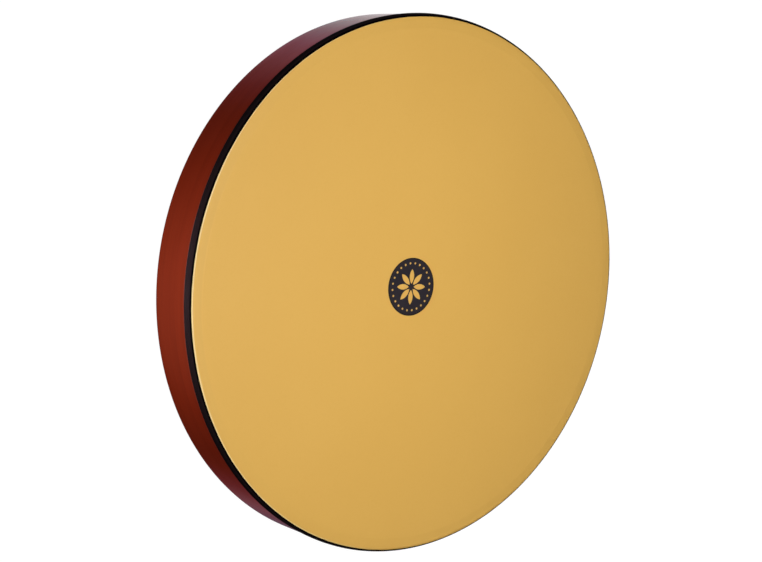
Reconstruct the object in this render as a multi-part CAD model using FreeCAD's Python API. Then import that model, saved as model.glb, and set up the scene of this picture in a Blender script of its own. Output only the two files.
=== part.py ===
import FreeCAD, Part
import math
import os

from FreeCAD import Vector

# Tunable frame drum, 22 in across and 2 1/2 in deep, in millimetres.
# +Z runs along the drum's axis out of the playing face. The origin is the centre of the open
# rear rim, which rests on Z = 0.
# A laminated hoop carries a thin head that is wrapped over its front edge and glued, with a
# woven tape over the glued margin. Inside the hoop a ring lifts the head. Eight socket screws
# in brackets on the inner wall push the ring, all worked from the open back.
# The parts at a tuner are drawn on +X and then spun about Z to their places.

INCH = 25.4

# ---- hoop ----
SHELL_R = 22 * INCH / 2
SHELL_WALL = 11.0
FACE_PLY = 1.5             # outer and inner face plies
SHELL_TOP = 62.2           # crest of the front bearing edge
EDGE_ROUND = 5.0           # round-over that the head is wrapped over
REAR_OUT_ROUND = 3.0
REAR_IN_ROUND = 2.0
FRONT_IN_ROUND = 2.0
INNER_R = SHELL_R - SHELL_WALL
CREST_R = SHELL_R - EDGE_ROUND         # centre of the round-over
CREST_Z = SHELL_TOP - EDGE_ROUND

# ---- seams: where the two ends of a bent strip meet, in degrees, and mm for the gap ----
OUTER_PLY_SEAM = dict(angle=-52, slant=18, gap=0.15)
INNER_PLY_SEAM = dict(angle=-95, slant=18, gap=0.15)
TAPE_SEAM = dict(angle=-74, slant=30, gap=0.25)
SEAM_PIVOT_Z = 32.0        # height about which a seam slants

# ---- head and tape ----
FILM = 0.3
HEAD_TOP = 2.5 * INCH      # playing face at rest
COLLAR_LOW = 56.3          # lower end of the glued margin
TAPE = 0.45
TAPE_LOW = 53.5
TAPE_START = 25.0          # degrees from the crest at which the tape starts
TAPE_STEP_Z = COLLAR_LOW - 0.6         # where the tape has come down onto the hoop

# ---- tuning ring ----
RING_GAP = 1.0             # clearance from the hoop's wall
RING_WEB = 5.0
RING_FOOT_R = 250.5        # inner edge of the foot
RING_FOOT = 3.0            # thickness of the foot
RING_LOW = 45.0            # underside of the foot
RING_FILLET = 3.0          # between foot and web
RING_CORNER = 0.8          # rounding of the foot's corners
RING_OUT_R = INNER_R - RING_GAP
RING_IN_R = RING_OUT_R - RING_WEB
FOOT_TOP = RING_LOW + RING_FOOT
CROWN_ROUND = RING_WEB / 2
CROWN_R = RING_OUT_R - CROWN_ROUND     # centre of the crown's rounding
CROWN_Z = HEAD_TOP - FILM - CROWN_ROUND

# ---- tuners ----
TUNERS = 8
TUNER_START = 22.5         # degrees
TUNER_R = 257.0            # radius on which the tuning screws stand
TUNER_ANGLES = [TUNER_START + 360.0 / TUNERS * k for k in range(TUNERS)]

# ---- tuning screws ----
SCREW_R = 2.97             # M6 thread, drawn as a plain shank
SCREW_LEN = 30.0           # from head to tip
SCREW_TIP = 43.2           # height of the tip at rest
SCREW_HEAD_R = 5.0
SCREW_HEAD_H = 6.0
SCREW_CHAMFER = 0.6
SOCKET_FLATS = 5.0
SOCKET_DEPTH = 3.2
DOG_R = 2.2
DOG_H = 1.2

# ---- pressure cups riveted under the ring ----
CUP_R = 5.5
CUP_H = 3.0
CUP_CHAMFER = 0.6
CUP_BORE_R = 3.1
CUP_LOW = RING_LOW - CUP_H
RIVET_R = 1.5
RIVET_HEAD_R = 2.7
RIVET_HEAD_H = 0.9
RIVET_ROUND = 0.6

# ---- brackets and their weld nuts ----
BRACKET_W = 28.0
BRACKET_T = 2.5
BRACKET_BACK = 268.0       # plane of the back, distance from the axis
BRACKET_LOW = 14.0
BRACKET_TOP = 37.0
BRACKET_TIP = 246.0        # inner end of the shelf
BEND_OUT = 4.0
BEND_IN = BEND_OUT - BRACKET_T
SHELF_CORNER = 8.0
LEG_CORNER = 5.0
SHELF_HOLE_R = 3.3         # for the tuning screw
LEG_HOLE_R = 2.2           # for the wood screws
NUT_FLATS = 10.0
NUT_H = 5.0
NUT_BORE_R = 3.02
NUT_LOW = BRACKET_TOP - BRACKET_T - NUT_H
NUT_CONE_R = NUT_FLATS / 2 + 0.15      # 45-degree cone that trims the low corners
NUT_CONE_H = 8.0

# ---- wood screws that hold the brackets ----
WOOD_R = 1.75
WOOD_LEN = 10.6            # under the head
WOOD_POINT_LEN = 2.0
WOOD_POINT_R = 0.3
WOOD_HEAD_R = 3.75
WOOD_HEAD_H = 2.4
WOOD_HEAD_ROUND = 1.5
WOOD_SLOT = (1.5, 4.2, 0.9)            # depth, length and width of the cross recess
WOOD_Z = 22.0
WOOD_SIDES = (-8.5, 8.5)               # y of the two screws
WOOD_SEAT = BRACKET_BACK - BRACKET_T   # plane under the heads

# ---- printed disc on the head ----
BADGE_R = 30.1
BADGE_X = -13.6            # the print sits a little to one side of the middle
BADGE_T = 0.1
PETALS = 8
PETAL_IN = 3.2             # petals run from this radius
PETAL_OUT = 18.5           # to this one
PETAL_HALF_W = 2.9
DOTS = 24
DOT_RING_R = 24.5
DOT_R = 1.1
PRINT_CUT_Z = HEAD_TOP - 0.4           # the cutting tools pass right through the print
PRINT_CUT_H = 1.0

UP = Vector(0, 0, 1)
OUTWARD = Vector(1, 0, 0)
TOLERANCE = 1e-6
OVERCUT = 0.01             # a recess tool starts this far outside the surface


# ---- helpers ----
def arc_point(centre_r, centre_z, radius, degrees):
    """A point on a circle in the r-z plane, degrees from straight up towards +r."""
    a = math.radians(degrees)
    return Vector(centre_r + radius * math.sin(a), 0, centre_z + radius * math.cos(a))


def profile(*items):
    """A face in the r-z plane through points (r, z) and arcs (centre r, centre z, radius,
    from degrees, to degrees), each joined to the next by a straight line."""
    starts, arcs, ends = [], [], []
    for item in items:
        if len(item) == 2:
            points = [Vector(item[0], 0, item[1])]
            arcs.append([])
        else:
            start, end = item[3:]
            points = [arc_point(*item[:3], a) for a in (start, (start + end) / 2.0, end)]
            arcs.append([Part.Arc(*points).toShape()])
        starts.append(points[0])
        ends.append(points[-1])
    edges = []
    for arc, end, following in zip(arcs, ends, starts[1:] + starts[:1]):
        edges += arc + [Part.makeLine(end, following)]
    return Part.Face(Part.Wire(edges))


def turn(section):
    return section.revolve(Vector(0, 0, 0), UP, 360)


def cylinder(radius, height, x, z):
    """An upright cylinder standing at (x, 0, z)."""
    return Part.makeCylinder(radius, height, Vector(x, 0, z), UP)


def hexagon(across_flats, z, height):
    """An upright hexagonal prism on the tuner's axis."""
    corner_r = across_flats / math.sqrt(3.0)
    turns = [math.radians(60 * k) for k in range(6)]
    points = [Vector(TUNER_R + corner_r * math.cos(a), corner_r * math.sin(a), z) for a in turns]
    return Part.Face(Part.makePolygon(points + points[:1])).extrude(Vector(0, 0, height))


def spin(shape, degrees):
    spun = shape.copy()
    spun.rotate(Vector(0, 0, 0), UP, degrees)
    return spun


def at_tuners(*shapes):
    return Part.makeCompound([spin(s, angle) for angle in TUNER_ANGLES for s in shapes])


def edges_at(shape, axis, place, also_flat=""):
    """Edges in the plane axis = place, with no length along the axes in also_flat either."""
    found = []
    for edge in shape.Edges:
        box = edge.BoundBox
        flat = all(getattr(box, a + "Length") < TOLERANCE for a in axis + also_flat)
        if flat and abs(getattr(box, axis + "Min") - place) < TOLERANCE:
            found.append(edge)
    return found


def seam(angle, slant, gap):
    """A thin slanted plate across the hoop's wall, to part a strip where its ends meet."""
    plate = Part.makeBox(40, gap, 160, Vector(SHELL_R - 30, -gap / 2.0, -50))
    plate.rotate(Vector(SHELL_R, 0, SEAM_PIVOT_Z), OUTWARD, slant)
    return spin(plate, angle)


def save(name, shape):
    solids = shape.Solids
    for solid in solids:
        if not solid.isValid() or solid.Volume <= 0:
            raise RuntimeError("bad solid in " + name)
    piece = solids[0] if len(solids) == 1 else Part.makeCompound(solids)
    piece.exportStep("parts/" + name + ".step")


# ---- hoop ----
def hoop_layer(r_in, r_out):
    """The part of the hoop between two radii."""
    hoop = profile(
        (SHELL_R - REAR_OUT_ROUND, REAR_OUT_ROUND, REAR_OUT_ROUND, 180, 90),
        (CREST_R, CREST_Z, EDGE_ROUND, 90, 0),
        (INNER_R + FRONT_IN_ROUND, SHELL_TOP - FRONT_IN_ROUND, FRONT_IN_ROUND, 0, -90),
        (INNER_R + REAR_IN_ROUND, REAR_IN_ROUND, REAR_IN_ROUND, 270, 180),
    )
    z_low, z_high = -5, 80             # clear of the hoop at both ends
    band = profile((r_in, z_low), (r_out, z_low), (r_out, z_high), (r_in, z_high))
    return turn(hoop.common(band).Faces[0])


def save_hoop():
    """Two face plies and the core, with pilot holes in the core and the inner ply."""
    core_in, core_out = INNER_R + FACE_PLY, SHELL_R - FACE_PLY
    spare = 5                          # the bands reach past the hoop's walls
    outer_ply = hoop_layer(core_out, SHELL_R + spare)
    core = hoop_layer(core_in, core_out)
    inner_ply = hoop_layer(INNER_R - spare, core_in)
    pilots = at_tuners(*[wood_shank(y) for y in WOOD_SIDES])
    save("shell_outer_ply", outer_ply.cut(seam(**OUTER_PLY_SEAM)))
    save("shell_core", core.cut(pilots))
    save("shell_inner_ply", inner_ply.cut(pilots).cut(seam(**INNER_PLY_SEAM)))


# ---- head ----
def head_membrane():
    return cylinder(CROWN_R, FILM, 0, HEAD_TOP - FILM)


def head_collar():
    """The film from the ring's crown over the hoop's round-over to the glued margin."""
    # between the two roundings it runs straight along their common tangent
    dr, dz = CREST_R - CROWN_R, CREST_Z - CROWN_Z
    lean = math.asin((CROWN_ROUND - EDGE_ROUND) / math.hypot(dr, dz))
    tangent = math.degrees(lean + math.atan2(-dz, dr))
    return turn(profile(
        (CROWN_R, CROWN_Z, CROWN_ROUND + FILM, 0, tangent),
        (CREST_R, CREST_Z, EDGE_ROUND + FILM, tangent, 90),
        (SHELL_R + FILM, COLLAR_LOW),
        (SHELL_R, COLLAR_LOW),
        (CREST_R, CREST_Z, EDGE_ROUND, 90, tangent),
        (CROWN_R, CROWN_Z, CROWN_ROUND, tangent, 0),
    ))


def rim_tape():
    """Woven tape over the glued margin, stepping down onto the hoop below it."""
    tape = profile(
        (CREST_R, CREST_Z, EDGE_ROUND + FILM + TAPE, TAPE_START, 90),
        (SHELL_R + FILM + TAPE, COLLAR_LOW),
        (SHELL_R + TAPE, TAPE_STEP_Z),
        (SHELL_R + TAPE, TAPE_LOW),
        (SHELL_R, TAPE_LOW),
        (SHELL_R, TAPE_STEP_Z),
        (SHELL_R + FILM, COLLAR_LOW),
        (CREST_R, CREST_Z, EDGE_ROUND + FILM, 90, TAPE_START),
    )
    return turn(tape).cut(seam(**TAPE_SEAM))


def petal():
    """A lens on +X where two large cylinders overlap."""
    middle = (PETAL_IN + PETAL_OUT) / 2.0
    half_len = (PETAL_OUT - PETAL_IN) / 2.0
    radius = (half_len ** 2 + PETAL_HALF_W ** 2) / (2.0 * PETAL_HALF_W)
    offset = radius - PETAL_HALF_W
    sides = [Part.makeCylinder(radius, PRINT_CUT_H, Vector(middle, y, PRINT_CUT_Z))
             for y in (offset, -offset)]
    return sides[0].common(sides[1])


def centre_badge():
    """A rosette in a ring of dots, both left open so that the head shows through."""
    disc = cylinder(BADGE_R, BADGE_T, 0, HEAD_TOP)
    dot = cylinder(DOT_R, PRINT_CUT_H, DOT_RING_R, PRINT_CUT_Z)
    openings = [spin(petal(), 360.0 / PETALS * k) for k in range(PETALS)]
    openings += [spin(dot, 360.0 / DOTS * (k + 0.5)) for k in range(DOTS)]
    badge = disc.cut(Part.makeCompound(openings))
    badge.translate(Vector(BADGE_X, 0, 0))
    return badge


# ---- tuning ring and cups ----
def tuning_ring():
    """A foot for the screws and a rounded crown under the head, with rivet holes."""
    c = RING_CORNER
    ring = turn(profile(
        (RING_OUT_R - c, RING_LOW + c, c, 180, 90),
        (CROWN_R, CROWN_Z, CROWN_ROUND, 90, -90),
        (RING_IN_R - RING_FILLET, FOOT_TOP + RING_FILLET, RING_FILLET, 90, 180),
        (RING_FOOT_R + c, FOOT_TOP - c, c, 0, -90),
        (RING_FOOT_R + c, RING_LOW + c, c, 270, 180),
    ))
    return ring.cut(at_tuners(cylinder(RIVET_R, 20, TUNER_R, RING_LOW - 5)))


def screw_cup():
    """A cup bored up to the screw's tip, with its rivet through the ring's foot."""
    body = cylinder(CUP_R, CUP_H, TUNER_R, CUP_LOW)
    body = body.makeChamfer(CUP_CHAMFER, edges_at(body, "Z", CUP_LOW))
    body = body.cut(cylinder(CUP_BORE_R, SCREW_TIP - CUP_LOW + 1.0, TUNER_R, CUP_LOW - 1.0))
    stem = cylinder(RIVET_R, RING_FOOT, TUNER_R, RING_LOW)
    head = cylinder(RIVET_HEAD_R, RIVET_HEAD_H, TUNER_R, FOOT_TOP)
    head = head.makeFillet(RIVET_ROUND, edges_at(head, "Z", FOOT_TOP + RIVET_HEAD_H))
    return body.fuse(stem).fuse(head).removeSplitter()


# ---- brackets, nuts and screws ----
def tuning_bracket():
    """A leg against the hoop's wall, bent at the top into a shelf that points inwards."""
    bend_r, bend_z = BRACKET_BACK - BEND_OUT, BRACKET_TOP - BEND_OUT
    section = profile(
        (bend_r, bend_z, BEND_OUT, 90, 0),
        (BRACKET_TIP, BRACKET_TOP),
        (BRACKET_TIP, BRACKET_TOP - BRACKET_T),
        (bend_r, bend_z, BEND_IN, 0, 90),
        (BRACKET_BACK - BRACKET_T, BRACKET_LOW),
        (BRACKET_BACK, BRACKET_LOW),
    )
    bracket = section.extrude(Vector(0, BRACKET_W, 0))
    bracket.translate(Vector(0, -BRACKET_W / 2.0, 0))
    bracket = bracket.makeFillet(SHELF_CORNER, edges_at(bracket, "X", BRACKET_TIP, "Y"))
    bracket = bracket.makeFillet(LEG_CORNER, edges_at(bracket, "Z", BRACKET_LOW, "Y"))
    bracket = bracket.cut(cylinder(SHELF_HOLE_R, 20, TUNER_R, BRACKET_TOP - 10))
    for y in WOOD_SIDES:
        start = Vector(BRACKET_BACK - 10, y, WOOD_Z)
        bracket = bracket.cut(Part.makeCylinder(LEG_HOLE_R, 20, start, OUTWARD))
    return bracket


def weld_nut():
    """Hexagon nut under the shelf, its low corners trimmed by a cone."""
    nut = hexagon(NUT_FLATS, NUT_LOW, NUT_H)
    foot = Vector(TUNER_R, 0, NUT_LOW)
    nut = nut.common(Part.makeCone(NUT_CONE_R, NUT_CONE_R + NUT_CONE_H, NUT_CONE_H, foot))
    return nut.cut(cylinder(NUT_BORE_R, 20, TUNER_R, NUT_LOW - 5))


def wood_shank(y):
    """Shank and point of a wood screw, also the shape of its pilot hole."""
    plain_len = WOOD_LEN - WOOD_POINT_LEN
    shank = Part.makeCylinder(WOOD_R, plain_len, Vector(WOOD_SEAT, y, WOOD_Z), OUTWARD)
    point_base = Vector(WOOD_SEAT + plain_len, y, WOOD_Z)
    return shank.fuse(Part.makeCone(WOOD_R, WOOD_POINT_R, WOOD_POINT_LEN, point_base, OUTWARD))


def wood_screw(y):
    face_x = WOOD_SEAT - WOOD_HEAD_H
    head = Part.makeCylinder(WOOD_HEAD_R, WOOD_HEAD_H, Vector(face_x, y, WOOD_Z), OUTWARD)
    head = head.makeFillet(WOOD_HEAD_ROUND, edges_at(head, "X", face_x))
    screw = wood_shank(y).fuse(head)
    depth, length, width = WOOD_SLOT
    for angle in (0, 90):
        corner = Vector(face_x - OVERCUT, y - length / 2, WOOD_Z - width / 2)
        slot = Part.makeBox(depth, length, width, corner)
        slot.rotate(Vector(0, y, WOOD_Z), OUTWARD, angle)
        screw = screw.cut(slot)
    return screw.removeSplitter()


def tuning_screw():
    """Socket head cap screw with a dog point, its head towards the open back."""
    seat = SCREW_TIP - SCREW_LEN       # plane between head and shank
    head_low = seat - SCREW_HEAD_H
    shank_len = SCREW_LEN - DOG_H
    shank = cylinder(SCREW_R, shank_len, TUNER_R, seat)
    shank = shank.makeChamfer(SCREW_CHAMFER, edges_at(shank, "Z", seat + shank_len))
    dog = cylinder(DOG_R, DOG_H, TUNER_R, SCREW_TIP - DOG_H)
    head = cylinder(SCREW_HEAD_R, SCREW_HEAD_H, TUNER_R, head_low)
    head = head.makeChamfer(SCREW_CHAMFER, edges_at(head, "Z", head_low))
    head = head.cut(hexagon(SOCKET_FLATS, head_low - OVERCUT, SOCKET_DEPTH + OVERCUT))
    return shank.fuse(dog).fuse(head).removeSplitter()


os.makedirs("parts", exist_ok=True)

save_hoop()
save("head_membrane", head_membrane())
save("head_collar", head_collar())
save("rim_tape", rim_tape())
save("centre_badge", centre_badge())
save("tuning_ring", tuning_ring())
save("screw_cups", at_tuners(screw_cup()))
save("weld_nuts", at_tuners(weld_nut()))
save("bracket_screws", at_tuners(*[wood_screw(y) for y in WOOD_SIDES]))
for name, shape in (("tuning_bracket", tuning_bracket()), ("tuning_screw", tuning_screw())):
    for number, angle in enumerate(TUNER_ANGLES, start=1):
        save("%s_%d" % (name, number), spin(shape, angle))
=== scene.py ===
"""A frame drum, 22 inches across, lying flat on a pale floor.

The drum's axis is Z. The open back of the hoop is at z = 0 and the head is on top. A lacquered
ply hoop carries a gold film head, held by woven tape. A rolled aluminium ring inside the hoop
tensions the head, pushed up by eight screws in brackets. Lengths are in millimetres in the
meshes, and in metres in the materials and on the stage.
"""
import math
from functools import cached_property

import bmesh
import bpy
import numpy as np
from mathutils import Matrix, Vector


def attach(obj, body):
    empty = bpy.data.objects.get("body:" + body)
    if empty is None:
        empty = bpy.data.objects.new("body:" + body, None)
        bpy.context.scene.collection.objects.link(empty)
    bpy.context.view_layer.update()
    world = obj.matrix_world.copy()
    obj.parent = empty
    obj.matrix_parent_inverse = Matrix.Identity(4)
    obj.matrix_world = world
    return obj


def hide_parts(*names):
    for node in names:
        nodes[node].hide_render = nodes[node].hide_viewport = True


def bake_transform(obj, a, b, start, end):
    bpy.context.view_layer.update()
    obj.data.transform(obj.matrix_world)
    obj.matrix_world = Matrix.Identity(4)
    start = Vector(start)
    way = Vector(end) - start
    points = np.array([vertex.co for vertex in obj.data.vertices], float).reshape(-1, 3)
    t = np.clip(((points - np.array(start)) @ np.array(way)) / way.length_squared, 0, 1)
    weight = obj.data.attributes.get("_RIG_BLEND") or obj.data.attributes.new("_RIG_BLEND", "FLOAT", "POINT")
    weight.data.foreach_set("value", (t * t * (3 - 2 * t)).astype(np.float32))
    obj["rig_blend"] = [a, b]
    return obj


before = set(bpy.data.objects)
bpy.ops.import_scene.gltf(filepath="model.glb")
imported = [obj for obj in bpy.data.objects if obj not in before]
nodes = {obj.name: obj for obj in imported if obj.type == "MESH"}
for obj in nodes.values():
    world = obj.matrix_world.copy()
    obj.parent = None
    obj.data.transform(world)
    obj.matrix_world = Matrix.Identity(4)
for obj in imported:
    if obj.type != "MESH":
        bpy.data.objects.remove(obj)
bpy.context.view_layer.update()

MM = 0.001
TURN = 2 * math.pi
scene = bpy.context.scene

# ---------------------------------------------------------------- sizes in mm, angles in degrees
# hoop
SHELL_R, SHELL_T, SHELL_TOP = 279.4, 11.0, 62.2
INNER_R = SHELL_R - SHELL_T
PLY = 1.5
EDGE_R = 5.0                                # round of the top outer edge
CREST_R, EDGE_Z = SHELL_R - EDGE_R, SHELL_TOP - EDGE_R      # centre of that round
REAR_OUT, REAR_IN, FRONT_IN = 3.0, 2.0, 2.0                 # rounds of the other edges
HOOP_COLUMNS = 360
SEAM_MID_Z = 32.0                           # height at which a slanted seam is at its angle

# head
FILM, HEAD_TOP = 0.3, 63.5
HEAD_EDGE, HEAD_EDGE_NEXT = 56.3, 56.75     # lower end of the film, and the station above it
FLAT_STATIONS = (0.0, 40.0, 90.0, 140.0, 190.0, 230.0, 255.0, 262.0)
BLEND_OUT, BLEND_IN = 275.0, 266.0          # radii where the film starts and ends its move

# tape
TAPE, TAPE_LOW, TAPE_START, TAPE_DROP = 0.45, 53.5, 25.0, 17.0
TAPE_COLUMNS = 1320

# tuning ring: an upright web with a round crown, and a foot turned inwards
RING_OUT, RING_WEB = 267.4, 5.0
RING_MID, RING_ROUND = RING_OUT - RING_WEB / 2, RING_WEB / 2
RING_IN = RING_OUT - RING_WEB
RING_FOOT, FOOT_T, RING_LOW, RING_FILLET = 250.5, 3.0, 45.0, 3.0
FOOT_TOP = RING_LOW + FOOT_T
FOOT_ROUND = 0.8
CROWN_Z = HEAD_TOP - FILM - RING_ROUND      # centre height of the crown
WELD_RISE, WELD_HALF, WELD_RIPPLE = 0.42, 2.1, 1.3          # height, half width, ripple pitch

# tuning screws
TUNER_R, TUNERS = 257.0, 8
HEX_ACROSS, HEX_DEPTH = 5.0, 3.2
SCREW_TIP, SCREW_LEN, SCREW_HEAD_H = 43.2, 30.0, 6.0
HEAD_UP = SCREW_TIP - SCREW_LEN             # upper face of the screw's head
HEAD_LOW = HEAD_UP - SCREW_HEAD_H
THREAD_MAJOR, THREAD_MINOR = 2.97, 2.44
SHANK_SIDES, ROWS_PER_MM, HEAD_SIDES = 24, 24, 72
DOG_R, DOG_LEN = 2.2, 1.2                   # plain end of the shank


# ---------------------------------------------------------------- mesh tools
def mesh_object(name, verts, faces, uvs=None, sharp=35.0):
    """verts: (n, 3) in mm. faces: list of index tuples. uvs: one (u, v) per loop."""
    mesh = bpy.data.meshes.new(name)
    mesh.from_pydata((np.asarray(verts, float) * MM).tolist(), [], faces)
    if uvs is not None:
        layer = mesh.uv_layers.new(name="UVMap")
        layer.data.foreach_set("uv", np.asarray(uvs, np.float32).ravel())
    mesh.polygons.foreach_set("use_smooth", np.ones(len(mesh.polygons), bool))
    mesh.validate()
    mesh.update()
    mesh.set_sharp_from_angle(angle=math.radians(sharp))
    return add_object(name, mesh)


def add_object(name, data):
    ob = bpy.data.objects.new(name, data)
    scene.collection.objects.link(ob)
    return ob


def arc(centre_r, centre_z, radius, start, end, steps):
    """Points on an arc, with angles in degrees from +Z towards the outside."""
    angles = np.radians(np.linspace(start, end, steps + 1))
    return [(centre_r + radius * math.sin(a), centre_z + radius * math.cos(a)) for a in angles]


def line(a, b, steps):
    return [(a[0] + (b[0] - a[0]) * k / steps, a[1] + (b[1] - a[1]) * k / steps)
            for k in range(steps + 1)]


def apart(a, b):
    return math.hypot(a[0] - b[0], a[1] - b[1])


def drop_repeats(points):
    kept = []
    for point in points:
        if not kept or apart(point, kept[-1]) > 1e-4:
            kept.append(point)
    return kept


def clean(outline):
    """Drops repeated points from a closed outline."""
    kept = drop_repeats(outline)
    if apart(kept[0], kept[-1]) < 1e-4:
        kept.pop()
    return kept


def seam_angles(profile, columns, at, slant, gap):
    """Angles for a strip open at a slanted seam, as (column, profile point).
    at and slant in degrees, gap in mm."""
    z = np.array(profile, float)[None, :, 1]
    opening = gap / SHELL_R
    angles = (np.linspace(0, 1, columns + 1)[:, None] * (TURN - opening)
              + math.radians(at) + opening / 2)
    return angles - math.tan(math.radians(slant)) * (z - SEAM_MID_Z) / SHELL_R


def lathe(name, profile, angles, displace=None, closed=True, sharp=35.0):
    """Turns a profile of (r, z), counter-clockwise with r to the right and z up, about Z.
    angles: radians. One per column joins the last to the first. Those of seam_angles leave the
    strip open, with its ends closed.
    displace(angle, r, z, length) returns new (r, z), with length measured along the profile."""
    points = np.array(profile, float)
    count = len(points)
    step = np.roll(points, -1, axis=0) - points
    length = np.concatenate([[0], np.cumsum(np.hypot(step[:, 0], step[:, 1]))])
    is_open = angles.ndim == 2
    if not is_open:
        angles = np.repeat(angles[:, None], count, axis=1)
    columns = len(angles)
    radius = np.repeat(points[None, :, 0], columns, axis=0)
    z = np.repeat(points[None, :, 1], columns, axis=0)
    if displace is not None:
        along = np.repeat(length[None, :count], columns, axis=0)
        radius, z = displace(angles, radius, z, along)
    verts = np.stack([radius * np.cos(angles), radius * np.sin(angles), z], axis=-1)
    faces, uvs = [], []
    spans = columns - 1 if is_open else columns
    for i in range(spans):
        a, b = i * count, (i + 1) % columns * count
        u0, u1 = i / spans, (i + 1) / spans
        for j in range(count if closed else count - 1):
            j2 = (j + 1) % count
            v0, v1 = length[j] * MM, length[j + 1] * MM
            faces.append((a + j, b + j, b + j2, a + j2))
            uvs += [(u0, v0), (u1, v0), (u1, v1), (u0, v1)]
    if is_open:
        faces.append(tuple(range(count)))
        uvs += [(0, length[j] * MM) for j in range(count)]
        faces.append(tuple((columns - 1) * count + j for j in reversed(range(count))))
        uvs += [(1, length[j] * MM) for j in reversed(range(count))]
    return mesh_object(name, verts.reshape(-1, 3), faces, uvs, sharp)


def weld_axis(ob):
    """Merges the vertices that lie on the drum's axis."""
    work = bmesh.new()
    work.from_mesh(ob.data)
    on_axis = [v for v in work.verts if math.hypot(v.co.x, v.co.y) < 1e-7]
    bmesh.ops.remove_doubles(work, verts=on_axis, dist=1e-6)
    work.to_mesh(ob.data)
    work.free()
    ob.data.update()


def side_angles(sides):
    return np.arange(sides) / sides * 2 * math.pi


def ring_stack(rows, sides, base=0, triangles=False):
    """Verts and faces of a capped stack of rings about a local axis. rows: (radius, z), where
    radius may be an array over the sides. base: index of the first vertex."""
    angles = side_angles(sides)
    verts, faces = [], []
    for radius, z in rows:
        radius = np.broadcast_to(np.asarray(radius, float), sides)
        z = np.broadcast_to(np.asarray(z, float), sides)
        verts += np.stack([radius * np.cos(angles), radius * np.sin(angles), z], axis=-1).tolist()
    for k in range(len(rows) - 1):
        low, high = base + k * sides, base + (k + 1) * sides
        for i in range(sides):
            i2 = (i + 1) % sides
            a, b, c, d = low + i, low + i2, high + i2, high + i
            faces += [(a, b, c), (a, c, d)] if triangles else [(a, b, c, d)]
    faces.append(tuple(base + i for i in reversed(range(sides))))
    faces.append(tuple(base + (len(rows) - 1) * sides + i for i in range(sides)))
    return verts, faces


def wobble(angles, seed, waves, amount):
    """A smooth, closed, repeatable wander around the hoop. waves: counts per turn."""
    rng = np.random.RandomState(seed)
    total = np.zeros_like(angles)
    for wave in waves:
        total = total + rng.uniform(0.4, 1.0) * np.sin(wave * angles + rng.uniform(0, TURN))
    return total * amount / math.sqrt(len(waves))


def dress(ob, material):
    ob.data.materials.clear()
    ob.data.materials.append(material)


def register(ob, material, ride, node):
    dress(ob, material)
    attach(ob, ride)
    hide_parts(node)


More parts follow.
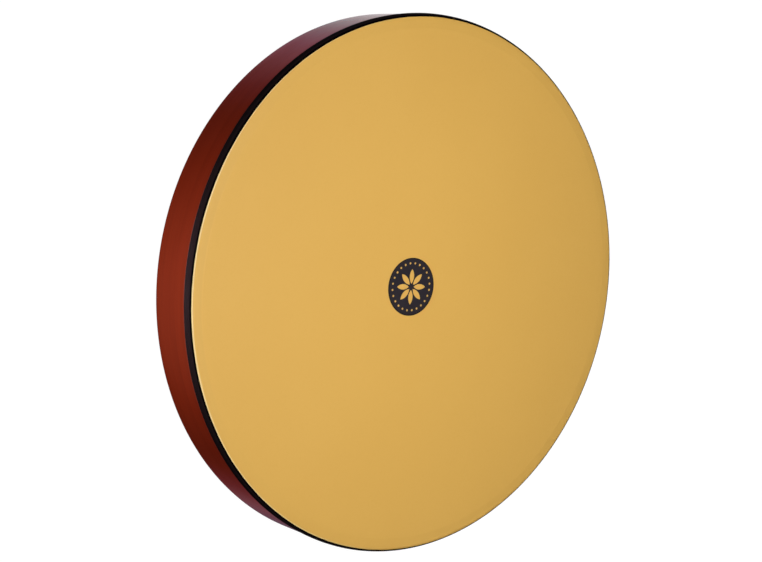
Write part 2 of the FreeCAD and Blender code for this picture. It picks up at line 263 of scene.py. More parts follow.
# ---------------------------------------------------------------- shader tools
class Shader:
    """Builds a node tree. A 3-tuple given to a colour socket gets an alpha of 1."""

    def __init__(self, tree, material=None):
        tree.nodes.clear()
        self.tree = tree
        self.material = material

    def node(self, kind, ins=None, **props):
        node = self.tree.nodes.new(kind)
        for key, value in props.items():
            setattr(node, key, value)
        for key, value in (ins or {}).items():
            self.set(node.inputs[key], value)
        return node

    def set(self, socket, value):
        if isinstance(value, bpy.types.NodeSocket):
            self.tree.links.new(value, socket)
        elif isinstance(value, bpy.types.Node):
            self.tree.links.new(value.outputs[0], socket)
        elif socket.type == "RGBA":
            socket.default_value = (*value, 1.0)
        else:
            socket.default_value = value

    def math(self, operation, a, b=0.0, clamp=False):
        return self.node("ShaderNodeMath", {0: a, 1: b},
                         operation=operation, use_clamp=clamp).outputs[0]

    def add(self, a, b):
        return self.math("ADD", a, b)

    def sub(self, a, b):
        return self.math("SUBTRACT", a, b)

    def mul(self, a, b):
        return self.math("MULTIPLY", a, b)

    def mix(self, base, over, amount, blend="MIX"):
        return self.node("ShaderNodeMix", {0: amount, 6: base, 7: over},
                         data_type="RGBA", blend_type=blend).outputs[2]

    def mix_value(self, amount, off, on):
        return self.node("ShaderNodeMix", {0: amount, 2: off, 3: on},
                         data_type="FLOAT").outputs[0]

    def mix_shader(self, amount, off, on):
        return self.node("ShaderNodeMixShader", {0: amount, 1: off, 2: on})

    def remap(self, value, span, to=(0.0, 1.0), smooth=False):
        """Maps span onto to, clamped."""
        ins = dict(enumerate((value, *span, *to)))
        return self.node("ShaderNodeMapRange", ins, clamp=True,
                         interpolation_type="SMOOTHSTEP" if smooth else "LINEAR").outputs[0]

    @cached_property
    def point(self):
        return self.node("ShaderNodeTexCoord").outputs["Object"]

    @cached_property
    def xyz(self):
        return self.node("ShaderNodeSeparateXYZ", {"Vector": self.point}).outputs[:3]

    def distance(self, x, y):
        return self.math("SQRT", self.add(self.mul(x, x), self.mul(y, y)))

    @cached_property
    def radius(self):
        return self.distance(*self.xyz[:2])

    def vec(self, x, y, z):
        return self.node("ShaderNodeCombineXYZ", {"X": x, "Y": y, "Z": z}).outputs[0]

    def grey(self, value):
        return self.vec(value, value, value)

    def noise(self, scale, detail=3.0, rough=0.5, distortion=0.0, vector=None):
        return self.node("ShaderNodeTexNoise", {
            "Scale": scale, "Detail": detail, "Roughness": rough, "Distortion": distortion,
            "Vector": vector or self.point}).outputs[0]

    def bump(self, height, distance, strength, normal=None):
        ins = {"Height": height, "Distance": distance, "Strength": strength}
        if normal is not None:
            ins["Normal"] = normal
        return self.node("ShaderNodeBump", ins).outputs[0]

    def around(self, along, across):
        """Coordinates for a grain that runs around the hoop: slow along it, quick across it
        in height and in radius. Both are frequencies per metre."""
        x, y, z = self.xyz
        per_radius = self.math("DIVIDE", along, self.math("MAXIMUM", self.radius, 0.001))
        hoop_radius = 0.28
        return self.vec(
            self.mul(self.mul(x, per_radius), hoop_radius),
            self.mul(self.mul(y, per_radius), hoop_radius),
            self.add(self.mul(z, across), self.mul(self.radius, across)))

    def worn_edge(self, bevel):
        """Normals rounded by bevel (metres), and a mask of the sharp edges."""
        rounded = self.node("ShaderNodeBevel", {"Radius": bevel}, samples=4).outputs[0]
        normal = self.node("ShaderNodeNewGeometry").outputs["Normal"]
        facing = self.node("ShaderNodeVectorMath", {0: rounded, 1: normal},
                           operation="DOT_PRODUCT").outputs["Value"]
        return rounded, self.remap(facing, span=(0.97, 0.80))

    def output(self, shader):
        self.node("ShaderNodeOutputMaterial", {0: shader})
        return self.material

    def principled(self, **ins):
        return self.node("ShaderNodeBsdfPrincipled",
                         {key.replace("_", " "): value for key, value in ins.items()})


def new_shader(name):
    material = bpy.data.materials.new(name)
    material.use_nodes = True
    return Shader(material.node_tree, material)


def scaled(colour, factor):
    return tuple(c * factor for c in colour)


# ---------------------------------------------------------------- materials
WOOD_BRIGHT = (0.430, 0.0370, 0.0090)
WOOD_DARK = (0.350, 0.0270, 0.0062)
LAYER_T = 0.0016            # lamination thickness, metres


def rim_layers(mat, colour, bright, dark):
    """Laminations on the rear rim: alternate layers with thin glue lines between them."""
    depth = mat.math("DIVIDE", mat.sub(mat.radius, (INNER_R + PLY) * MM), LAYER_T)
    within = mat.math("FRACT", depth)
    half_index = mat.mul(mat.math("FLOOR", depth), 0.5)
    odd = mat.math("ROUND", mat.math("FRACT", half_index))
    glue = mat.math("ADD", mat.remap(within, span=(0.0, 0.09), to=(1.0, 0.0)),
                    mat.remap(within, span=(0.91, 1.0)), clamp=True)
    on_rim = mat.remap(mat.xyz[2], span=(0.0014, 0.0022), to=(1.0, 0.0))
    layer = mat.mix(mat.mix(colour, bright, amount=0.55),
                    mat.mix(colour, dark, amount=0.6), amount=odd)
    layer = mat.mix(layer, scaled(dark, 0.3), amount=mat.mul(glue, 0.75))
    return mat.mix(colour, layer, on_rim)


def lacquer(name, bright=WOOD_BRIGHT, dark=WOOD_DARK, coat_rough=0.07, plies=False, seed=0.0):
    """Red lacquer over wood grain. seed shifts the broad clouds along X."""
    mat = new_shader(name)
    x, y, z = mat.xyz
    shifted = mat.vec(mat.add(x, seed), y, z)
    broad = mat.noise(scale=7.0, detail=2.0, vector=shifted)
    grain = mat.noise(scale=1.0, detail=4.0, rough=0.55, distortion=0.6,
                      vector=mat.around(along=5.0, across=240.0))
    pores = mat.noise(scale=1.0, rough=0.6, vector=mat.around(along=26.0, across=1300.0))
    colour = mat.mix(dark, bright, mat.remap(grain, span=(0.30, 0.72)))
    pore_amount = mat.mul(mat.remap(pores, span=(0.60, 0.76)), 0.22)
    colour = mat.mix(colour, scaled(dark, 0.45), pore_amount)
    colour = mat.mix(colour, scaled(bright, 1.18),
                     mat.remap(broad, span=(0.38, 0.64), to=(0.0, 0.22)))
    if plies:
        colour = rim_layers(mat, colour, bright, dark)
    # mostly orange peel, with a little of the pores
    peel = mat.noise(scale=260.0, detail=2.0)
    height = mat.add(mat.mul(peel, 0.7), mat.mul(pores, 0.3))
    return mat.output(mat.principled(
        Base_Color=colour,
        Roughness=mat.remap(mat.noise(scale=34.0), span=(0.3, 0.7), to=(0.36, 0.48)),
        Specular_IOR_Level=0.25,
        Coat_Weight=1.0,
        Coat_Roughness=mat.remap(mat.noise(scale=18.0), span=(0.3, 0.7),
                                 to=(coat_rough, coat_rough + 0.05)),
        Coat_IOR=1.5,
        Normal=mat.bump(height, distance=0.00003, strength=0.5),
        Coat_Normal=mat.bump(peel, distance=0.00002, strength=0.35)))


def film():
    mat = new_shader("head_film_gold")
    x = mat.xyz[0]
    base = (0.715, 0.414, 0.087)
    light = (0.745, 0.442, 0.099)
    deep = (0.670, 0.380, 0.074)
    cloud = mat.noise(scale=11.0)
    fine = mat.noise(scale=420.0, detail=2.0)
    speck = mat.noise(scale=1500.0, detail=1.0)
    colour = mat.mix(base, light, mat.remap(cloud, span=(0.30, 0.70), to=(0.0, 0.35)))
    colour = mat.mix(colour, deep, mat.remap(fine, span=(0.55, 0.80), to=(0.0, 0.25)))
    colour = mat.mix(colour, deep, mat.remap(speck, span=(0.62, 0.75), to=(0.0, 0.12)))
    # painted shade: the sloping margin between the tuning ring and the hoop's edge is a shade darker towards
    # -X
    margin = mat.mul(mat.remap(mat.radius, span=(0.2655, 0.2672), smooth=True),
                     mat.remap(mat.radius, span=(0.2700, 0.2745), to=(1.0, 0.35)))
    margin_painted_shade = mat.mul(margin, mat.remap(x, span=(-0.222, -0.262), to=(0.0, 0.036)))
    colour = mat.mix(colour, mat.grey(mat.sub(1.0, margin_painted_shade)), amount=1.0, blend="MULTIPLY")
    # painted highlight: a pale line on the film's rounded edge just beside the tape, most towards -X
    reach = mat.add(mat.radius, mat.remap(x, span=(-0.222, -0.262), to=(0.0, 0.0006)))
    pale = mat.mul(mat.remap(reach, span=(0.2754, 0.2763), to=(0.0, 0.85)),
                   mat.remap(x, span=(-0.02, -0.20)))
    colour = mat.mix(colour, over=(0.94, 0.72, 0.33), amount=pale)
    # relief: fine grain and a weaker speckle
    height = mat.add(mat.mul(fine, 0.6), mat.mul(speck, 0.4))
    face = mat.principled(
        Base_Color=colour,
        Roughness=mat.remap(fine, span=(0.3, 0.7), to=(0.50, 0.58)),
        Specular_IOR_Level=0.30,
        Normal=mat.bump(height, distance=0.00002, strength=0.35))
    glow = mat.node("ShaderNodeBsdfTranslucent", {"Color": (0.80, 0.50, 0.16)})
    return mat.output(mat.mix_shader(amount=0.06, off=face, on=glow))


def weave(mat):
    """Height of a plain weave, from the strip's UVs."""
    uv = mat.node("ShaderNodeUVMap", uv_map="UVMap")
    split = mat.node("ShaderNodeSeparateXYZ", {"Vector": uv})
    # threads stray by a quarter of their width either way
    wander = mat.mul(mat.sub(mat.noise(scale=120.0, detail=2.0), 0.5), 0.5)
    threads_round, threads_per_metre = 2200.0, 1250.0
    u = mat.add(mat.mul(split.outputs[0], threads_round), wander)
    v = mat.add(mat.mul(split.outputs[1], threads_per_metre), wander)
    cell = mat.add(mat.math("FLOOR", u), mat.math("FLOOR", v))
    parity = mat.mul(mat.math("FRACT", mat.mul(cell, 0.5)), 2.0)
    round_u, round_v = [
        mat.math("SINE", mat.mul(mat.math("FRACT", axis), math.pi)) for axis in (u, v)]

    def thread(across, along):
        """A round thread that dips at its ends to 0.45 of its full height."""
        return mat.mul(across, mat.add(0.45, mat.mul(along, 0.55)))

    return mat.mix_value(mat.remap(parity, span=(0.4, 0.6)),
                         off=thread(round_u, round_v), on=thread(round_v, round_u))


def tape():
    mat = new_shader("woven_tape_black")
    z = mat.xyz[2]
    height = weave(mat)
    tone = mat.noise(scale=55.0)
    fibre = mat.noise(scale=2600.0, detail=2.0)
    # painted light and shade of the weave: the crowns of the threads are lighter, and the hollows between
    # them are much darker
    shaded_hollow, crown = (0.0016, 0.0008, 0.0010), (0.0165, 0.0103, 0.0118)
    colour = mat.mix(shaded_hollow, crown, mat.remap(height, span=(0.15, 0.95)))
    colour = mat.mix(colour, over=(0.0072, 0.0036, 0.0044),
                     amount=mat.remap(tone, span=(0.35, 0.7), to=(0.0, 0.35)))
    colour = mat.mix(colour, over=(0.035, 0.0225, 0.0265),
                     amount=mat.remap(fibre, span=(0.60, 0.78), to=(0.0, 0.55)))
    # painted shade: the strip of the band beside the head is darker, and it is a little less shiny
    edge = mat.remap(z, span=(0.06125, 0.06165), smooth=True)
    colour = mat.mix(colour, over=(0.0008, 0.0006, 0.0007), amount=mat.mul(edge, 0.95))
    # painted highlight along the cut edge on the hoop, broken up where loose fibres are
    cut_edge_highlight = mat.mul(mat.remap(z, span=(0.05410, 0.05370), to=(0.0, 0.9)),
                   mat.remap(fibre, span=(0.35, 0.6), to=(0.4, 1.0)))
    colour = mat.mix(colour, over=(0.142, 0.063, 0.058), amount=cut_edge_highlight)
    fibre_relief = mat.mul(fibre, 0.35)
    return mat.output(mat.principled(
        Base_Color=colour,
        Roughness=0.80,
        Specular_IOR_Level=mat.mix_value(edge, off=0.015, on=0.01),
        Sheen_Weight=mat.mix_value(edge, off=0.004, on=0.0),
        Sheen_Roughness=0.5,
        Sheen_Tint=(0.80, 0.68, 0.80),
        Normal=mat.bump(mat.add(height, fibre_relief), distance=0.00010, strength=0.7)))


def badge():
    mat = new_shader("printed_badge_black")
    centre_x = -0.0136
    x, y, _ = mat.xyz
    cloud = mat.noise(scale=60.0)
    fine = mat.noise(scale=900.0, detail=2.0)
    colour = mat.mix((0.0150, 0.0115, 0.0165), (0.0190, 0.0150, 0.0215),
                     mat.remap(cloud, span=(0.3, 0.7)))
    colour = mat.mix(colour, over=(0.034, 0.028, 0.036),
                     amount=mat.remap(fine, span=(0.62, 0.78), to=(0.0, 0.4)))
    # the ink is thickest in a line round the disc's own edge
    from_centre = mat.distance(mat.sub(x, centre_x), y)
    colour = mat.mix(colour, over=(0.009, 0.005, 0.003),
                     amount=mat.remap(from_centre, span=(0.0285, 0.0291), to=(0.0, 0.85)))
    return mat.output(mat.principled(
        Base_Color=colour,
        Roughness=mat.remap(fine, span=(0.3, 0.7), to=(0.42, 0.55)),
        Specular_IOR_Level=0.20,
        Normal=mat.bump(fine, distance=0.000015, strength=0.4)))


def aluminium():
    mat = new_shader("brushed_aluminium")
    brush = mat.noise(scale=1.0, rough=0.65, vector=mat.around(along=60.0, across=5200.0))
    broad = mat.noise(scale=16.0)
    colour = mat.mix((0.56, 0.57, 0.58), (0.74, 0.745, 0.75),
                     mat.remap(brush, span=(0.3, 0.7)))
    colour = mat.mix(colour, over=(0.50, 0.50, 0.49),
                     amount=mat.remap(broad, span=(0.45, 0.75), to=(0.0, 0.30)))
    rough = mat.add(mat.remap(brush, span=(0.25, 0.75), to=(0.24, 0.42)),
                    mat.remap(broad, span=(0.4, 0.7), to=(0.0, 0.08)))
    return mat.output(mat.principled(
        Base_Color=colour, Metallic=1.0, Roughness=rough,
        Normal=mat.bump(brush, distance=0.00002, strength=0.5)))


def stretched(mat, across, up):
    """Coordinates scaled by across in X and Y and by up in Z."""
    x, y, z = mat.xyz
    return mat.vec(mat.mul(x, across), mat.mul(y, across), mat.mul(z, up))


def zinc():
    mat = new_shader("zinc_plated_steel")
    cell = mat.node("ShaderNodeTexVoronoi", {"Scale": 420.0, "Vector": mat.point})
    cloud = mat.noise(scale=75.0, detail=4.0, rough=0.6)
    scratch = mat.noise(scale=1.0, detail=2.0, vector=stretched(mat, across=2600.0, up=160.0))
    colour = mat.mix((0.52, 0.53, 0.52), (0.70, 0.71, 0.74),
                     mat.remap(cloud, span=(0.3, 0.7)))
    colour = mat.mix(colour, cell.outputs["Color"], amount=0.18, blend="SOFT_LIGHT")
    colour = mat.mix(colour, over=(0.66, 0.60, 0.44),
                     amount=mat.remap(cloud, span=(0.58, 0.72), to=(0.0, 0.30)))
    rounded, edge = mat.worn_edge(bevel=0.0006)
    colour = mat.mix(colour, over=(0.86, 0.87, 0.88), amount=mat.mul(edge, 0.6))
    # clouds and weaker scratches roughen it, and worn edges are a little smoother
    wear = mat.add(cloud, mat.mul(scratch, 0.4))
    rough = mat.sub(mat.remap(wear, span=(0.4, 1.0), to=(0.26, 0.48)), mat.mul(edge, 0.08))
    return mat.output(mat.principled(
        Base_Color=colour, Metallic=1.0, Roughness=rough,
        Normal=mat.bump(scratch, distance=0.000012, strength=0.5, normal=rounded)))


def black_oxide():
    mat = new_shader("black_oxide_steel")
    cloud = mat.noise(scale=160.0, detail=4.0, rough=0.6)
    fine = mat.noise(scale=1800.0, detail=2.0)
    rounded, sharp_edge = mat.worn_edge(bevel=0.00035)
    edge = mat.mul(sharp_edge, mat.remap(fine, span=(0.35, 0.6)))
    colour = mat.mix((0.040, 0.038, 0.040), (0.085, 0.078, 0.072),
                     mat.remap(cloud, span=(0.3, 0.7)))
    colour = mat.mix(colour, over=(0.34, 0.33, 0.32), amount=mat.mul(edge, 0.7))
    # clouds and half as much fine grain roughen it
    wear = mat.add(cloud, mat.mul(fine, 0.5))
    return mat.output(mat.principled(
        Base_Color=colour, Metallic=0.85,
        Roughness=mat.remap(wear, span=(0.5, 1.0), to=(0.28, 0.46)),
        Normal=mat.bump(fine, distance=0.00001, strength=0.4, normal=rounded)))


def turned_steel():
    mat = new_shader("turned_steel")
    turning = mat.noise(scale=1.0, detail=2.0, vector=stretched(mat, across=90.0, up=4200.0))
    cloud = mat.noise(scale=120.0)
    colour = mat.mix((0.44, 0.43, 0.42), (0.62, 0.61, 0.60),
                     mat.remap(turning, span=(0.3, 0.7)))
    colour = mat.mix(colour, over=(0.36, 0.33, 0.30),
                     amount=mat.remap(cloud, span=(0.5, 0.75), to=(0.0, 0.4)))
    return mat.output(mat.principled(
        Base_Color=colour, Metallic=1.0,
        Roughness=mat.remap(turning, span=(0.3, 0.7), to=(0.22, 0.40)),
        Normal=mat.bump(turning, distance=0.00002, strength=0.5)))


lacquer_outer = lacquer("lacquer_outer")
lacquer_core = lacquer("lacquer_core_edge", plies=True, seed=3.0)
lacquer_inner = lacquer("lacquer_inner", bright=scaled(WOOD_BRIGHT, 0.86),
                        dark=scaled(WOOD_DARK, 0.80), coat_rough=0.16, seed=7.0)
gold_film, black_tape, badge_ink, ring_alu = film(), tape(), badge(), aluminium()
zinc_plate, black_steel, bright_steel = zinc(), black_oxide(), turned_steel()

COLUMN_ANGLES = np.arange(HOOP_COLUMNS) / HOOP_COLUMNS * 2 * math.pi


# ---------------------------------------------------------------- hoop
def hoop():
    """Outer ply, core and inner ply, split where the plies meet the rounded edges."""
    top_split = math.degrees(math.asin((SHELL_R - PLY - CREST_R) / EDGE_R))
    rear_r = SHELL_R - REAR_OUT
    rear_split = 180 - math.degrees(math.asin((SHELL_R - PLY - rear_r) / REAR_OUT))
    in_split = math.degrees(math.asin((REAR_IN - PLY) / REAR_IN))
    rear_in = (INNER_R + REAR_IN, REAR_IN, REAR_IN)
    front_in = (INNER_R + FRONT_IN, SHELL_TOP - FRONT_IN, FRONT_IN)
    rear_out = (rear_r, REAR_OUT, REAR_OUT)
    top_out = (CREST_R, EDGE_Z, EDGE_R)
    outer = clean(
        arc(*rear_out, rear_split, 90, 8)
        + line((SHELL_R, REAR_OUT), (SHELL_R, EDGE_Z), 6)
        + arc(*top_out, 90, top_split, 8))
    core = clean(
        arc(*rear_in, 180 + in_split, 180, 3)
        + arc(*rear_out, 180, rear_split, 5)
        + arc(*top_out, top_split, 0, 7)
        + arc(*front_in, 0, -in_split, 3))
    inner = clean(
        arc(*rear_in, 270, 180 + in_split, 6)
        + arc(*front_in, -in_split, -90, 6))
    outer_angles = seam_angles(outer, HOOP_COLUMNS, at=-52, slant=18, gap=0.15)
    inner_angles = seam_angles(inner, HOOP_COLUMNS, at=-95, slant=18, gap=0.15)
    parts = []
    for name, outline, angles, material, node, slot in (
        ("hoop_outer_ply", outer, outer_angles, lacquer_outer, "shell_outer_ply",
         "lacquered_ply"),
        ("hoop_core", core, COLUMN_ANGLES, lacquer_core, "shell_core", "core_wood"),
        ("hoop_inner_ply", inner, inner_angles, lacquer_inner, "shell_inner_ply",
         "lacquered_ply"),
    ):
        ob = lathe(name, outline, angles)
        register(ob, material, "shell", node)
        parts.append(ob)
    return parts


# ---------------------------------------------------------------- head
def head_skin(lift):
    """One face of the film from the axis to its glued edge, lift above the parts it lies on."""
    slope_r, slope_z = CREST_R - RING_MID, EDGE_Z - CROWN_Z
    tangent = math.degrees(math.asin((RING_ROUND - EDGE_R) / math.hypot(slope_r, slope_z))
                           + math.atan2(-slope_z, slope_r))
    flat = [(radius, HEAD_TOP - (FILM - lift)) for radius in FLAT_STATIONS]
    crown = arc(RING_MID, CROWN_Z, RING_ROUND + lift, 0, tangent, 2)
    bend = arc(CREST_R, EDGE_Z, EDGE_R + lift, tangent, 90, 18)
    glued = [(SHELL_R + lift, HEAD_EDGE_NEXT), (SHELL_R + lift, HEAD_EDGE)]
    return drop_repeats(flat + crown + line(crown[-1], bend[0], 14) + bend + glued)


def drum_head():
    profile = head_skin(0.0) + list(reversed(head_skin(FILM)))
    head = lathe("drum_head", profile, COLUMN_ANGLES, closed=False, sharp=50.0)
    weld_axis(head)
    dress(head, gold_film)
    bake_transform(head, "shell", "ring", start=(0.2755, 0, 0.06), end=(0.266, 0, 0.06))
    # the free margin stays a straight cone between the ring's crown and the hoop's edge
    places = np.array([v.co for v in head.data.vertices], float)
    radii = np.hypot(places[:, 0], places[:, 1]) / MM
    weights = np.clip((BLEND_OUT - radii) / (BLEND_OUT - BLEND_IN), 0, 1)
    blend = head.data.attributes["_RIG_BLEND"]
    blend.data.foreach_set("value", weights.astype(np.float32))
    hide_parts("head_membrane", "head_collar")


# ---------------------------------------------------------------- woven tape
TAPE_IN, TAPE_OUT = EDGE_R + FILM, EDGE_R + FILM + TAPE     # radii about the edge's centre
STEP_Z = HEAD_EDGE - 0.6                                    # where the tape steps off the film


def tape_displace(angles, radius, z, _length):
    """The cut edges wander a little, and the edge beside the head is gathered into pleats."""
    turn = np.degrees(np.arctan2(radius - CREST_R, z - EDGE_Z))
    reach = np.hypot(radius - CREST_R, z - EDGE_Z)
    on_arc = z > EDGE_Z - 0.2
    near = np.clip((50.0 - turn) / 28.0, 0, 1) * on_arc
    pleat = np.maximum(0, wobble(angles, 11, [173, 197, 229, 263, 311], 0.10)) * near
    slack = np.maximum(0, wobble(angles, 12, [37, 53, 71], 0.04)) * on_arc
    outer = np.clip((reach - TAPE_IN - 0.05) / (TAPE * 0.5), 0, 1)
    new_reach = reach + pleat * (0.35 + 0.65 * outer) + slack * outer
    wander = wobble(angles, 13, [9, 14, 23, 41, 67, 113], 0.9)
    new_turn = turn + wander * np.clip((40.0 - turn) / 18.0, 0, 1)
    # the head edge of the band is laid lower round the hoop's edge towards +X
    drop = TAPE_DROP * np.clip((np.cos(angles - math.radians(-12.0)) + 0.45) / 0.9, 0, 1)
    drop = drop - 5.0 * np.clip(np.cos(angles - math.radians(100.0)), 0, 1) ** 2
    new_turn = new_turn + drop * np.clip((90.0 - turn) / (90.0 - TAPE_START), 0, 1)
    bend = np.radians(new_turn)
    low = np.clip((STEP_Z - 0.1 - z) / 0.8, 0, 1)
    z_low = z + wobble(angles, 14, [7, 12, 19, 33, 59, 97], 0.10) * low
    return (np.where(on_arc, CREST_R + new_reach * np.sin(bend), radius),
            np.where(on_arc, EDGE_Z + new_reach * np.cos(bend), z_low))


def edge_tape():
    outside = SHELL_R + TAPE
    profile = clean(
        [(SHELL_R, TAPE_LOW + 0.08), (SHELL_R + 0.10, TAPE_LOW),
         (outside - 0.12, TAPE_LOW), (outside, TAPE_LOW + 0.14)]
        + line((outside, TAPE_LOW + 0.3), (outside, STEP_Z), 3)
        + [(CREST_R + TAPE_OUT - 0.05, HEAD_EDGE - 0.1), (CREST_R + TAPE_OUT, HEAD_EDGE + 0.1)]
        + arc(CREST_R, EDGE_Z, TAPE_OUT, 90, TAPE_START + 1.6, 20)
        + arc(CREST_R, EDGE_Z, TAPE_OUT - 0.14, TAPE_START, TAPE_START, 0)
        + arc(CREST_R, EDGE_Z, TAPE_IN + 0.01, TAPE_START, 90, 12)
        + [(CREST_R + TAPE_IN + 0.01, HEAD_EDGE), (SHELL_R + 0.01, STEP_Z)])
    angles = seam_angles(profile, TAPE_COLUMNS, at=-74, slant=30, gap=0.25)
    band = lathe("edge_tape", profile, angles, displace=tape_displace, sharp=60.0)
    register(band, black_tape, "shell", "rim_tape")
    return band


# ---------------------------------------------------------------- tuning ring
def ring_displace(angles, radius, z, length):
    """A rippled weld bead over the joint at +X, on the inside of the web and on both faces
    of the foot."""
    from_joint = ((angles + math.pi) % TURN - math.pi) * RING_MID
    hump = np.clip(1 - (from_joint / WELD_HALF) ** 2, 0, None)
    ripple = 1 + 0.22 * np.sin(length * 2 * math.pi / WELD_RIPPLE)
    rise = WELD_RISE * hump * ripple
    inside = (radius < RING_IN + 0.01) & (z > FOOT_TOP - 0.01) & (z < CROWN_Z)
    on_web = inside & (z > FOOT_TOP + RING_FILLET - 0.01)
    on_foot = inside & (z < FOOT_TOP + 0.02)
    new_z = np.where(z < RING_LOW + 0.01, z - rise, np.where(on_foot, z + rise, z))
    return np.where(on_web, radius - rise, radius), new_z


def tuning_ring():
    fillet_r, fillet_z = RING_IN - RING_FILLET, FOOT_TOP + RING_FILLET
    toe, heel = RING_FOOT + FOOT_ROUND, RING_OUT - FOOT_ROUND
    low_round = RING_LOW + FOOT_ROUND
    profile = clean(
        line((toe, RING_LOW), (heel, RING_LOW), 8)
        + arc(heel, low_round, FOOT_ROUND, 180, 90, 4)
        + arc(RING_MID, CROWN_Z, RING_ROUND, 90, -90, 18)
        + line((RING_IN, CROWN_Z), (RING_IN, fillet_z), 6)
        + arc(fillet_r, fillet_z, RING_FILLET, 90, 180, 7)
        + line((fillet_r, FOOT_TOP), (toe, FOOT_TOP), 5)
        + arc(toe, FOOT_TOP - FOOT_ROUND, FOOT_ROUND, 0, -90, 4)
        + arc(toe, low_round, FOOT_ROUND, 270, 180, 4))
    # columns are close together over the weld
    bead = np.radians(np.linspace(-1.0, 1.0, 41))
    clear = (COLUMN_ANGLES > bead[-1] + 0.008) & (COLUMN_ANGLES < TURN + bead[0] - 0.008)
    angles = np.concatenate([bead, COLUMN_ANGLES[clear]])
    ring = lathe("tuning_ring_rolled", profile, angles, displace=ring_displace, sharp=30.0)
    register(ring, ring_alu, "ring", "tuning_ring")


# ---------------------------------------------------------------- tuning screws
def shank_rows():
    """M6 x 1 right-hand thread, run out at the head, chamfered and turned down at the tip."""
    start, end = HEAD_UP - 0.4, SCREW_TIP - DOG_LEN
    pitch_share = side_angles(SHANK_SIDES) / TURN
    rows = []
    for k in range(int((end - start) * ROWS_PER_MM) + 1):
        z = start + k / ROWS_PER_MM
        crest = np.abs((z - pitch_share) % 1.0 - 0.5) * 2       # 1 on the crest, 0 in the root
        depth = THREAD_MAJOR - THREAD_MINOR
        radius = THREAD_MINOR + depth * np.clip((crest - 0.14) / 0.72, 0, 1)
        run_out = np.clip((z - HEAD_UP - 0.9) / 1.2, 0, 1)
        radius = THREAD_MAJOR - (THREAD_MAJOR - radius) * run_out
        chamfer = THREAD_MAJOR - np.clip(z - (end - 0.55), 0, None) * 1.15
        rows.append((np.minimum(radius, chamfer), z))
    return rows + [(DOG_R, end + 0.001), (DOG_R, SCREW_TIP - 0.2), (2.0, SCREW_TIP)]


def head_rows():
    """Hex socket, lower face, knurled side and upper face, as (radius, z)."""
    side = (side_angles(HEAD_SIDES) + math.pi / 6) % (math.pi / 3) - math.pi / 6
    socket = (HEX_ACROSS / 2) / np.cos(side)
    knurl = np.where(np.arange(HEAD_SIDES) % 2 == 0, 5.0, 4.84)
    floor_z = HEAD_LOW + HEX_DEPTH
    return [
        (0.4, floor_z + 0.9), (1.9, floor_z + 0.15), (socket * 0.99, floor_z),
        (socket, HEAD_LOW + 0.35), (np.maximum(socket, 2.55) + 0.22, HEAD_LOW + 0.03),
        (3.25, HEAD_LOW), (4.30, HEAD_LOW), (4.46, HEAD_LOW + 0.05), (4.80, HEAD_LOW + 0.42),
        (knurl - 0.05, HEAD_LOW + 0.70), (knurl, HEAD_LOW + 0.95), (knurl, HEAD_LOW + 2.6),
        (knurl, HEAD_LOW + 4.3), (knurl, HEAD_UP - 0.75),
        (4.84, HEAD_UP - 0.40), (4.84, HEAD_UP - 0.12), (4.72, HEAD_UP),
        (3.35, HEAD_UP), (3.02, HEAD_UP + 0.25), (2.90, HEAD_UP + 0.26),
    ]


def tuning_screws():
    verts, faces = ring_stack(shank_rows(), SHANK_SIDES, triangles=True)
    head_verts, head_faces = ring_stack(head_rows(), HEAD_SIDES, base=len(verts))
    x, y, z = np.array(verts + head_verts, float).T
    for k in range(TUNERS):
        angle = math.radians(22.5 + 45.0 * k)
        cos, sin = math.cos(angle), math.sin(angle)
        placed = np.stack([x * cos - y * sin + TUNER_R * cos,
                           x * sin + y * cos + TUNER_R * sin, z], axis=-1)
        number = k + 1
        ob = mesh_object(f"tuning_screw_m6_{number}", placed, faces + head_faces, sharp=28.0)
        register(ob, black_steel, f"screw_{number}", f"tuning_screw_{number}")


hoop_parts = hoop()
drum_head()
band = edge_tape()
tuning_ring()
tuning_screws()

# CAD pieces that keep their shape
dress(nodes["centre_badge"], badge_ink)
dress(nodes["screw_cups"], bright_steel)
dress(nodes["weld_nuts"], zinc_plate)
dress(nodes["bracket_screws"], black_steel)
for k in range(TUNERS):
    dress(nodes[f"tuning_bracket_{k + 1}"], zinc_plate)

# ---------------------------------------------------------------- stage, in metres
scene.view_settings.view_transform = "Standard"
scene.view_settings.look = "None"
scene.view_settings.exposure = 0.0
scene.view_settings.gamma = 1.0

# colour of the low cards: (place from -1 to 1 along their direction, red, green, blue)
CARD_STOPS = [
    (-0.60, 0.100, 0.092, 0.060), (-0.52, 0.060, 0.055, 0.036), (-0.42, 0.022, 0.018, 0.012),
    (-0.35, 0.0, 0.0, 0.0), (-0.09, 0.0, 0.0, 0.0), (-0.02, 0.032, 0.004, 0.003),
    (0.11, 0.115, 0.022, 0.034), (0.23, 0.190, 0.072, 0.094), (0.33, 0.250, 0.118, 0.165),
    (0.42, 0.250, 0.145, 0.218), (0.50, 0.252, 0.240, 0.305), (0.566, 0.330, 0.377, 0.418),
    (0.612, 0.470, 0.467, 0.490), (0.65, 0.63, 0.61, 0.63), (0.70, 0.76, 0.75, 0.755),
]


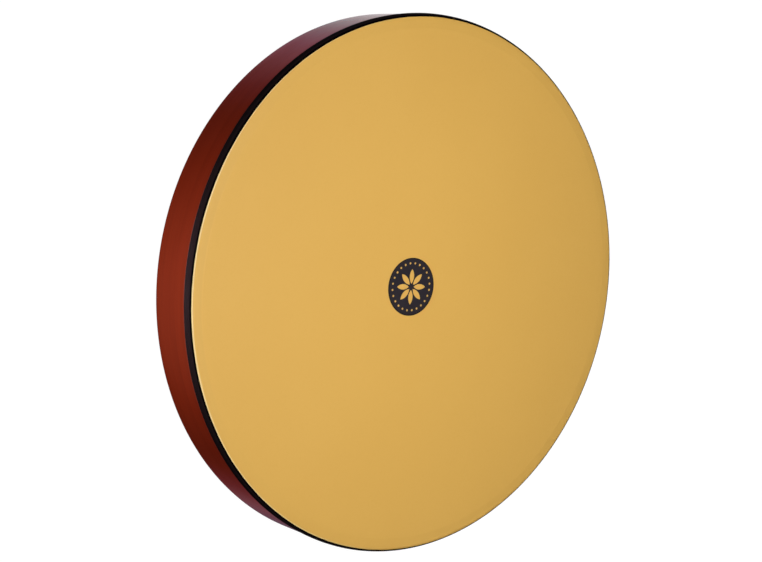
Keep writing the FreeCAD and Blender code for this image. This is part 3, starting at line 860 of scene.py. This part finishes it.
def studio_world():
    """A dim even light, a pale backdrop for the camera, and cards seen only in reflections."""
    world = bpy.data.worlds.new("studio")
    scene.world = world
    world.use_nodes = True
    sky = Shader(world.node_tree)
    incoming = sky.node("ShaderNodeNewGeometry").outputs["Incoming"]
    looking = sky.node("ShaderNodeVectorMath", {0: incoming, "Scale": -1.0}, operation="SCALE")
    x, y, z = sky.node("ShaderNodeSeparateXYZ", {"Vector": looking}).outputs[:3]
    # low cards in a dark studio, brightest towards +X with a slight turn to +Y
    across = sky.add(x, sky.mul(y, 0.24))
    cards = sky.node("ShaderNodeValToRGB", {"Fac": sky.remap(across, span=(-1.0, 1.0))})
    elements = cards.color_ramp.elements
    while len(elements) < len(CARD_STOPS):
        elements.new(0.5)
    for element, (place, *colour) in zip(elements, CARD_STOPS):
        element.position = (place + 1) / 2
        element.color = (*colour, 1.0)
    low = sky.remap(z, span=(-0.62, -0.30), to=(1.0, 0.25), smooth=True)
    # the cards are dimmer towards +X and -Y
    short = sky.mul(sky.remap(x, span=(0.36, 0.46)),
                    sky.remap(y, span=(-0.2, 0.0), to=(1.0, 0.0)))
    low = sky.mul(low, sky.sub(1.0, sky.mul(short, 0.48)))
    above = sky.remap(z, span=(0.05, 0.75), to=(0.03, 0.42), smooth=True)
    lit_cards = sky.mix(cards.outputs[0], sky.grey(low), amount=1.0, blend="MULTIPLY")
    gloss = sky.mix(lit_cards, sky.grey(above), sky.remap(z, span=(-0.02, 0.02)))

    def background(colour, strength):
        return sky.node("ShaderNodeBackground", {"Color": colour, "Strength": strength})

    rays = sky.node("ShaderNodeLightPath").outputs
    unseen = sky.mix_shader(rays["Is Glossy Ray"],
                            off=background((1.0, 1.0, 1.0), strength=0.085),
                            on=background(gloss, strength=1.0))
    seen = sky.mix_shader(rays["Is Camera Ray"], off=unseen,
                          on=background((0.92, 0.92, 0.925), strength=1.0))
    sky.node("ShaderNodeOutputWorld", {0: seen})


def floor():
    """A glowing pale plane just under the drum, clear from below and seen by the camera only."""
    half, z = 9.0, -0.0003
    mesh = bpy.data.meshes.new("floor")
    corners = [(-half, -half, z), (half, -half, z), (half, half, z), (-half, half, z)]
    mesh.from_pydata(corners, [], [(0, 1, 2, 3)])
    ob = add_object("floor", mesh)
    mat = new_shader("floor_pale")
    cloud = mat.noise(scale=2.0)
    colour = mat.mix((0.80, 0.80, 0.80), (0.82, 0.82, 0.82),
                     mat.remap(cloud, span=(0.3, 0.7)))
    matt = mat.node("ShaderNodeBsdfDiffuse", {"Color": colour})
    glow = mat.node("ShaderNodeEmission", {"Color": (1, 1, 1), "Strength": 1.06})
    backfacing = mat.node("ShaderNodeNewGeometry").outputs["Backfacing"]
    top_face = mat.mix_shader(amount=0.93, off=matt, on=glow)
    clear = mat.node("ShaderNodeBsdfTransparent")
    dress(ob, mat.output(mat.mix_shader(backfacing, off=top_face, on=clear)))
    ob.visible_diffuse = False
    ob.visible_glossy = False
    ob.visible_transmission = False
    ob.visible_shadow = False


def area(name, at, size, watts, aim=(0, 0, 0.03), color=(1, 1, 1), size_y=None, glossy=True):
    lamp = bpy.data.lights.new(name, "AREA")
    lamp.energy = watts
    lamp.color = color
    lamp.shape = "RECTANGLE"
    lamp.size = size
    lamp.size_y = size_y or size
    ob = add_object(name, lamp)
    ob.location = at
    ob.rotation_euler = (Vector(aim) - Vector(at)).to_track_quat("-Z", "Y").to_euler()
    ob.visible_camera = False
    ob.visible_glossy = glossy
    return ob


def light_only(name, lamps, objects):
    """Keeps the lamps' light to the given objects."""
    receivers = bpy.data.collections.new(name)
    for ob in objects:
        receivers.objects.link(ob)
    for lamp in lamps:
        lamp.light_linking.receiver_collection = receivers


def lights():
    area("key", at=(-0.58, 0.12, 2.2), size=1.3, watts=27.8)
    area("fill", at=(1.3, -0.6, 2.0), size=1.4, watts=0.8, color=(1.0, 0.95, 0.84),
         glossy=False)
    area("top", at=(-0.10, 0.03, 0.74), aim=(-0.10, 0.03, 0.0), size=0.4, watts=2.4,
         glossy=False)
    area("side", at=(-0.480, -0.012, 0.080), aim=(-0.28, -0.012, 0.034), size=0.18,
         size_y=0.08, watts=0.235, color=(1.0, 0.98, 0.95))
    tape_lamp = area("tape_lamp", at=(-0.405, 0.002, 0.060), aim=(-0.28, 0.002, 0.060),
                     size=0.04, watts=0.455, color=(1.0, 0.97, 0.98), glossy=False)
    wall_lamps = [
        area("low", at=(-0.4, -1.5, 0.05), aim=(0, -0.2, 0.03), size=0.8, watts=1.6,
             color=(1.0, 0.95, 0.90), glossy=False),
        area("low_far", at=(0.50, -1.20, 0.03), aim=(-0.14, -0.24, 0.03), size=0.3, watts=3.6,
             color=(1.0, 0.95, 0.93), glossy=False),
        area("up_far", at=(0.63, 1.16, 0.03), aim=(-0.14, 0.24, 0.03), size=0.3, watts=9.2,
             color=(1.0, 0.95, 0.93), glossy=False),
    ]
    under = area("under", at=(0.2, -0.2, -1.7), size=2.2, watts=26.0)
    # the lamp under the open back is kept off the hoop's outside
    kept_off = ("hoop_outer_ply", "edge_tape", "floor")
    light_only("inside_parts", [under], [
        ob for ob in scene.objects if ob.type == "MESH" and ob.name not in kept_off])
    light_only("band_only", [tape_lamp], [band])
    # the low lamps are kept off the head and the band
    light_only("wall_only", wall_lamps, hoop_parts)


def camera():
    data = bpy.data.cameras.new("camera")
    data.sensor_width = 36.0
    data.lens = 78.75365
    data.clip_start = 0.01
    data.clip_end = 100
    ob = add_object("camera", data)
    right = Vector((0.78482621, 0.07353315, 0.61533787))
    up = Vector((0.0, 0.992935396, -0.118656225))
    back = -Vector((0.61971592, -0.09312452, -0.77928172))
    # small turns of the axes, in radians
    yaw, pitch = 5.0989802e-4, 1.7996401e-4
    right, back = (right - back * yaw).normalized(), (back + right * yaw).normalized()
    up, back = (up + back * pitch).normalized(), (back - up * pitch).normalized()
    matrix = Matrix((right, up, back)).transposed().to_4x4()
    matrix.translation = Vector((-1.10158019, 0.16336374, 1.38261052))
    ob.matrix_world = matrix
    scene.camera = ob


studio_world()
floor()
lights()
camera()
